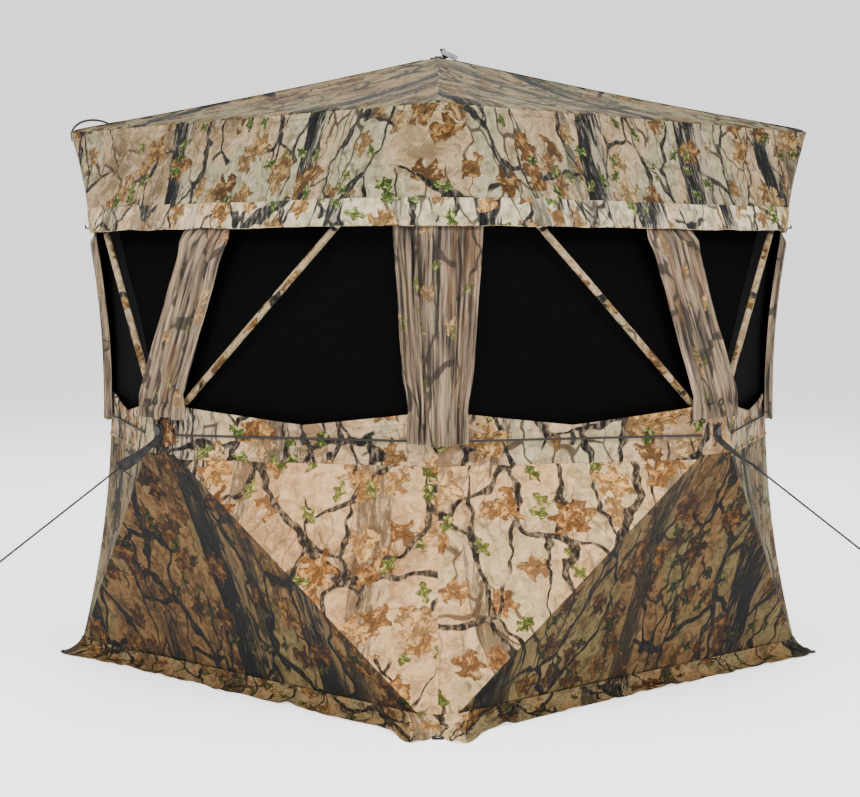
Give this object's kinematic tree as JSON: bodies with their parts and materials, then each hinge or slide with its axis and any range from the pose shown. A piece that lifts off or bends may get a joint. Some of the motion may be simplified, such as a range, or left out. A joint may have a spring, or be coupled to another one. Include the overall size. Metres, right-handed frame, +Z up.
{
  "type": "pop up ground blind",
  "caption": "Square pop up hunting blind with a shallow pyramid roof, bowed-out walls on hubs and rods, a band of dark windows and gathered curtains.",
  "frame": {"origin": "centre of the ground square, on the ground", "axes": "+Z up; the walls face -Y (front), +X (right), +Y (back) and -X (left)"},
  "size_m": [2.5225, 2.5225, 1.7338],
  "materials": {
    "camouflage_cloth": "matte, printed polyester",
    "curtain_cloth": "matte, printed polyester",
    "black_mesh": "matte",
    "pocket_cloth": "matte",
    "webbing": "woven",
    "pull_tab": "brushed",
    "tape": "woven",
    "cord": "braided",
    "fibreglass": "satin",
    "moulding": "moulded",
    "steel": "zinc plated",
    "hook_plastic": "moulded",
    "zip_tape": "woven",
    "zip_metal": "painted"
  },
  "bodies": {
    "shell": {"roof": "camouflage_cloth", "valance": "camouflage_cloth", "lower_wall_front": "camouflage_cloth", "lower_wall_right": "camouflage_cloth", "lower_wall_back": "camouflage_cloth", "lower_wall_left": "camouflage_cloth", "ground_skirt": "camouflage_cloth", "window_screens": "black_mesh", "hub_curtain_front": "curtain_cloth", "hub_curtain_right": "curtain_cloth", "hub_curtain_back": "curtain_cloth", "hub_curtain_left": "curtain_cloth", "corner_curtain_front_right": "curtain_cloth", "corner_curtain_back_right": "curtain_cloth", "corner_curtain_back_left": "curtain_cloth", "corner_curtain_front_left": "curtain_cloth", "window_cord": "cord", "corner_pockets": "pocket_cloth", "stake_loops": "webbing", "roof_loop": "tape", "hem_hooks": "hook_plastic", "door_zip_tape": "zip_tape"},
    "hub_front": {"hub_front": "moulding", "hub_hardware_front": "steel", "pull_strap_front": "webbing", "guy_rope_front": "cord"},
    "hub_right": {"hub_right": "moulding", "hub_hardware_right": "steel", "pull_strap_right": "webbing", "guy_rope_right": "cord"},
    "hub_back": {"hub_back": "moulding", "hub_hardware_back": "steel", "pull_strap_back": "webbing"},
    "hub_left": {"hub_left": "moulding", "hub_hardware_left": "steel", "pull_strap_left": "webbing"},
    "hub_roof": {"hub_roof": "moulding", "hub_hardware_roof": "steel", "roof_tab": "pull_tab"},
    "rod_front_1": {"rod_front_1": "fibreglass"},
    "rod_front_2": {"rod_front_2": "fibreglass"},
    "rod_front_3": {"rod_front_3": "fibreglass"},
    "rod_front_4": {"rod_front_4": "fibreglass"},
    "rod_right_1": {"rod_right_1": "fibreglass"},
    "rod_right_2": {"rod_right_2": "fibreglass"},
    "rod_right_3": {"rod_right_3": "fibreglass"},
    "rod_right_4": {"rod_right_4": "fibreglass"},
    "rod_back_1": {"rod_back_1": "fibreglass"},
    "rod_back_2": {"rod_back_2": "fibreglass"},
    "rod_back_3": {"rod_back_3": "fibreglass"},
    "rod_back_4": {"rod_back_4": "fibreglass"},
    "rod_left_1": {"rod_left_1": "fibreglass"},
    "rod_left_2": {"rod_left_2": "fibreglass"},
    "rod_left_3": {"rod_left_3": "fibreglass"},
    "rod_left_4": {"rod_left_4": "fibreglass"},
    "rod_roof_1": {"rod_roof_1": "fibreglass"},
    "rod_roof_2": {"rod_roof_2": "fibreglass"},
    "rod_roof_3": {"rod_roof_3": "fibreglass"},
    "rod_roof_4": {"rod_roof_4": "fibreglass"},
    "zip_slider": {"door_zip_slider": "zip_metal"}
  },
  "joints": [
    {"name": "pop_front", "type": "slide", "parent": "shell", "child": "hub_front", "axis": [0, 1, 0], "range_m": [0, 0.518], "deforming": ["lower_wall_front", "hub_curtain_front", "window_screens", "valance", "window_cord", "ground_skirt", "corner_pockets", "corner_curtain_front_right", "corner_curtain_front_left"]},
    {"name": "pop_right", "type": "slide", "parent": "shell", "child": "hub_right", "axis": [-1, 0, 0], "range_m": [0, 0.518], "deforming": ["lower_wall_right", "hub_curtain_right", "window_screens", "valance", "window_cord", "ground_skirt", "corner_pockets", "corner_curtain_front_right", "corner_curtain_back_right"]},
    {"name": "pop_back", "type": "slide", "parent": "shell", "child": "hub_back", "axis": [0, -1, 0], "range_m": [0, 0.518], "deforming": ["lower_wall_back", "hub_curtain_back", "window_screens", "valance", "window_cord", "ground_skirt", "corner_pockets", "corner_curtain_back_right", "corner_curtain_back_left", "door_zip_tape"]},
    {"name": "pop_left", "type": "slide", "parent": "shell", "child": "hub_left", "axis": [1, 0, 0], "range_m": [0, 0.518], "deforming": ["lower_wall_left", "hub_curtain_left", "window_screens", "valance", "window_cord", "ground_skirt", "corner_pockets", "corner_curtain_back_left", "corner_curtain_front_left"]},
    {"name": "pop_roof", "type": "slide", "parent": "shell", "child": "hub_roof", "axis": [0, 0, -1], "range_m": [0, 0.372], "deforming": ["roof", "valance", "corner_pockets", "window_screens"]},
    {"name": "swing_front_1", "type": "hinge", "parent": "hub_front", "child": "rod_front_1", "pos_m": [0.02977, -0.9795, 0.7324], "axis": [0.7363, 0, -0.6767], "range_deg": [0, 28.67]},
    {"name": "swing_front_2", "type": "hinge", "parent": "hub_front", "child": "rod_front_2", "pos_m": [-0.02977, -0.9795, 0.7324], "axis": [0.7363, 0, 0.6767], "range_deg": [0, 28.67]},
    {"name": "swing_front_3", "type": "hinge", "parent": "hub_front", "child": "rod_front_3", "pos_m": [-0.03191, -0.9795, 0.66971], "axis": [-0.6885, 0, 0.7252], "range_deg": [0, 30.72]},
    {"name": "swing_front_4", "type": "hinge", "parent": "hub_front", "child": "rod_front_4", "pos_m": [0.03191, -0.9795, 0.66971], "axis": [-0.6885, 0, -0.7252], "range_deg": [0, 30.72]},
    {"name": "swing_right_1", "type": "hinge", "parent": "hub_right", "child": "rod_right_1", "pos_m": [0.9795, 0.02977, 0.7324], "axis": [0, 0.7363, -0.6767], "range_deg": [0, 28.67]},
    {"name": "swing_right_2", "type": "hinge", "parent": "hub_right", "child": "rod_right_2", "pos_m": [0.9795, -0.02977, 0.7324], "axis": [0, 0.7363, 0.6767], "range_deg": [0, 28.67]},
    {"name": "swing_right_3", "type": "hinge", "parent": "hub_right", "child": "rod_right_3", "pos_m": [0.9795, -0.03191, 0.66971], "axis": [0, -0.6885, 0.7252], "range_deg": [0, 30.72]},
    {"name": "swing_right_4", "type": "hinge", "parent": "hub_right", "child": "rod_right_4", "pos_m": [0.9795, 0.03191, 0.66971], "axis": [0, -0.6885, -0.7252], "range_deg": [0, 30.72]},
    {"name": "swing_back_1", "type": "hinge", "parent": "hub_back", "child": "rod_back_1", "pos_m": [-0.02977, 0.9795, 0.7324], "axis": [-0.7363, 0, -0.6767], "range_deg": [0, 28.67]},
    {"name": "swing_back_2", "type": "hinge", "parent": "hub_back", "child": "rod_back_2", "pos_m": [0.02977, 0.9795, 0.7324], "axis": [-0.7363, 0, 0.6767], "range_deg": [0, 28.67]},
    {"name": "swing_back_3", "type": "hinge", "parent": "hub_back", "child": "rod_back_3", "pos_m": [0.03191, 0.9795, 0.66971], "axis": [0.6885, 0, 0.7252], "range_deg": [0, 30.72]},
    {"name": "swing_back_4", "type": "hinge", "parent": "hub_back", "child": "rod_back_4", "pos_m": [-0.03191, 0.9795, 0.66971], "axis": [0.6885, 0, -0.7252], "range_deg": [0, 30.72]},
    {"name": "swing_left_1", "type": "hinge", "parent": "hub_left", "child": "rod_left_1", "pos_m": [-0.9795, -0.02977, 0.7324], "axis": [0, -0.7363, -0.6767], "range_deg": [0, 28.67]},
    {"name": "swing_left_2", "type": "hinge", "parent": "hub_left", "child": "rod_left_2", "pos_m": [-0.9795, 0.02977, 0.7324], "axis": [0, -0.7363, 0.6767], "range_deg": [0, 28.67]},
    {"name": "swing_left_3", "type": "hinge", "parent": "hub_left", "child": "rod_left_3", "pos_m": [-0.9795, 0.03191, 0.66971], "axis": [0, 0.6885, 0.7252], "range_deg": [0, 30.72]},
    {"name": "swing_left_4", "type": "hinge", "parent": "hub_left", "child": "rod_left_4", "pos_m": [-0.9795, -0.03191, 0.66971], "axis": [0, 0.6885, -0.7252], "range_deg": [0, 30.72]},
    {"name": "swing_roof_1", "type": "hinge", "parent": "hub_roof", "child": "rod_roof_1", "pos_m": [0.03111, 0.03111, 1.67], "axis": [0.7071, -0.7071, 0], "range_deg": [0, 21.8]},
    {"name": "swing_roof_2", "type": "hinge", "parent": "hub_roof", "child": "rod_roof_2", "pos_m": [-0.03111, 0.03111, 1.67], "axis": [0.7071, 0.7071, 0], "range_deg": [0, 21.8]},
    {"name": "swing_roof_3", "type": "hinge", "parent": "hub_roof", "child": "rod_roof_3", "pos_m": [-0.03111, -0.03111, 1.67], "axis": [-0.7071, 0.7071, 0], "range_deg": [0, 21.8]},
    {"name": "swing_roof_4", "type": "hinge", "parent": "hub_roof", "child": "rod_roof_4", "pos_m": [0.03111, -0.03111, 1.67], "axis": [-0.7071, -0.7071, 0], "range_deg": [0, 21.8]},
    {"name": "door_zip", "type": "slide", "parent": "rod_back_3", "child": "zip_slider", "axis": [-0.6986, 0.2667, 0.664], "range_m": [0, 0.66]}
  ],
  "couplings": [
    {"joint": "swing_front_1", "follows": "pop_front", "rad_per_m": 0.95939},
    {"joint": "swing_front_2", "follows": "pop_front", "rad_per_m": 0.95939},
    {"joint": "swing_front_3", "follows": "pop_front", "rad_per_m": 1.0282},
    {"joint": "swing_front_4", "follows": "pop_front", "rad_per_m": 1.0282},
    {"joint": "swing_right_1", "follows": "pop_right", "rad_per_m": 0.95939},
    {"joint": "swing_right_2", "follows": "pop_right", "rad_per_m": 0.95939},
    {"joint": "swing_right_3", "follows": "pop_right", "rad_per_m": 1.0282},
    {"joint": "swing_right_4", "follows": "pop_right", "rad_per_m": 1.0282},
    {"joint": "swing_back_1", "follows": "pop_back", "rad_per_m": 0.95939},
    {"joint": "swing_back_2", "follows": "pop_back", "rad_per_m": 0.95939},
    {"joint": "swing_back_3", "follows": "pop_back", "rad_per_m": 1.0282},
    {"joint": "swing_back_4", "follows": "pop_back", "rad_per_m": 1.0282},
    {"joint": "swing_left_1", "follows": "pop_left", "rad_per_m": 0.95939},
    {"joint": "swing_left_2", "follows": "pop_left", "rad_per_m": 0.95939},
    {"joint": "swing_left_3", "follows": "pop_left", "rad_per_m": 1.0282},
    {"joint": "swing_left_4", "follows": "pop_left", "rad_per_m": 1.0282},
    {"joint": "swing_roof_1", "follows": "pop_roof", "rad_per_m": 1.0135},
    {"joint": "swing_roof_2", "follows": "pop_roof", "rad_per_m": 1.0135},
    {"joint": "swing_roof_3", "follows": "pop_roof", "rad_per_m": 1.0135},
    {"joint": "swing_roof_4", "follows": "pop_roof", "rad_per_m": 1.0135}
  ]
}
